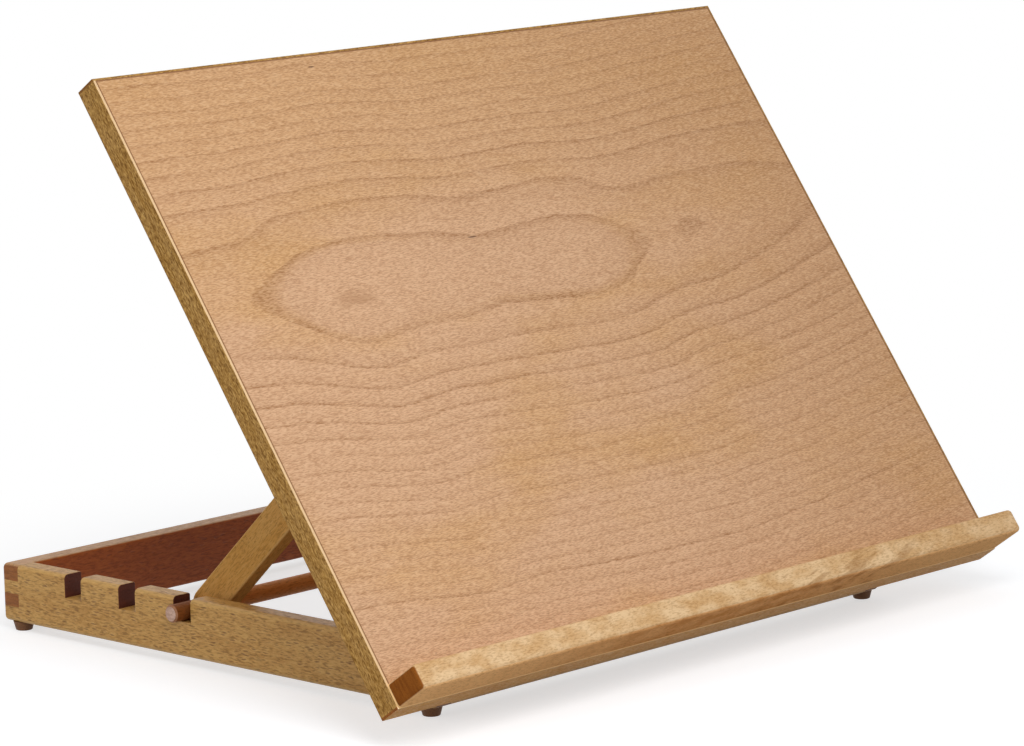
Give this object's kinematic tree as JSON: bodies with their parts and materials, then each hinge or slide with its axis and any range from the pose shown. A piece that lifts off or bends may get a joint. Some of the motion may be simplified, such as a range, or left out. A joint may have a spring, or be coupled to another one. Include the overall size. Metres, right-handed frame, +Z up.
{
  "type": "writing slope",
  "caption": "Wooden table slope with a bottom ledge, hinged to a notched base frame and propped by a strut whose dowel drops into the notches.",
  "frame": {"origin": "bottom centre of the bounding box, on the surface under the feet", "axes": "+X to the right along the board's width, +Y to the rear, +Z up"},
  "size_m": [0.42, 0.3416, 0.2818],
  "materials": {
    "rails": "oiled beech",
    "veneer": "oiled beech veneer",
    "core": "plain board",
    "edging": "oiled beech",
    "ledge": "oiled beech",
    "strut_wood": "oiled beech",
    "feet": "dark brown, dull",
    "brass": "plain"
  },
  "bodies": {
    "base": {"left_side_rail": "rails", "right_side_rail": "rails", "front_rail": "rails", "rear_rail": "rails", "front_left_foot": "feet", "front_right_foot": "feet", "rear_left_foot": "feet", "rear_right_foot": "feet", "foot_screws": "brass", "left_base_hinge_leaf": "brass", "right_base_hinge_leaf": "brass", "left_hinge_pin": "brass", "right_hinge_pin": "brass", "base_hinge_screws": "brass"},
    "board": {"board_core": "core", "face_veneer": "veneer", "back_veneer": "veneer", "left_edging": "edging", "right_edging": "edging", "top_edging": "edging", "bottom_edging": "edging", "ledge": "ledge", "ledge_screws": "brass", "left_board_hinge_leaf": "brass", "right_board_hinge_leaf": "brass", "board_hinge_screws": "brass", "left_pivot_block": "strut_wood", "right_pivot_block": "strut_wood", "block_screws": "brass", "left_pivot_screw": "brass", "right_pivot_screw": "brass"},
    "strut": {"left_leg": "strut_wood", "right_leg": "strut_wood", "cross_dowel": "strut_wood", "strut_washers": "brass"}
  },
  "joints": [
    {"name": "board_tilt", "type": "hinge", "parent": "base", "child": "board", "pos_m": [0, -0.1258, 0.0355], "axis": [1, 0, 0], "range_deg": [0, 38]},
    {"name": "strut_swing", "type": "hinge", "parent": "board", "child": "strut", "pos_m": [0, -0.05791, 0.11932], "axis": [-1, 0, 0], "range_deg": [0, 5.8]}
  ],
  "couplings": [
    {"joint": "strut_swing", "follows": "board_tilt", "ratio": 0.15}
  ]
}
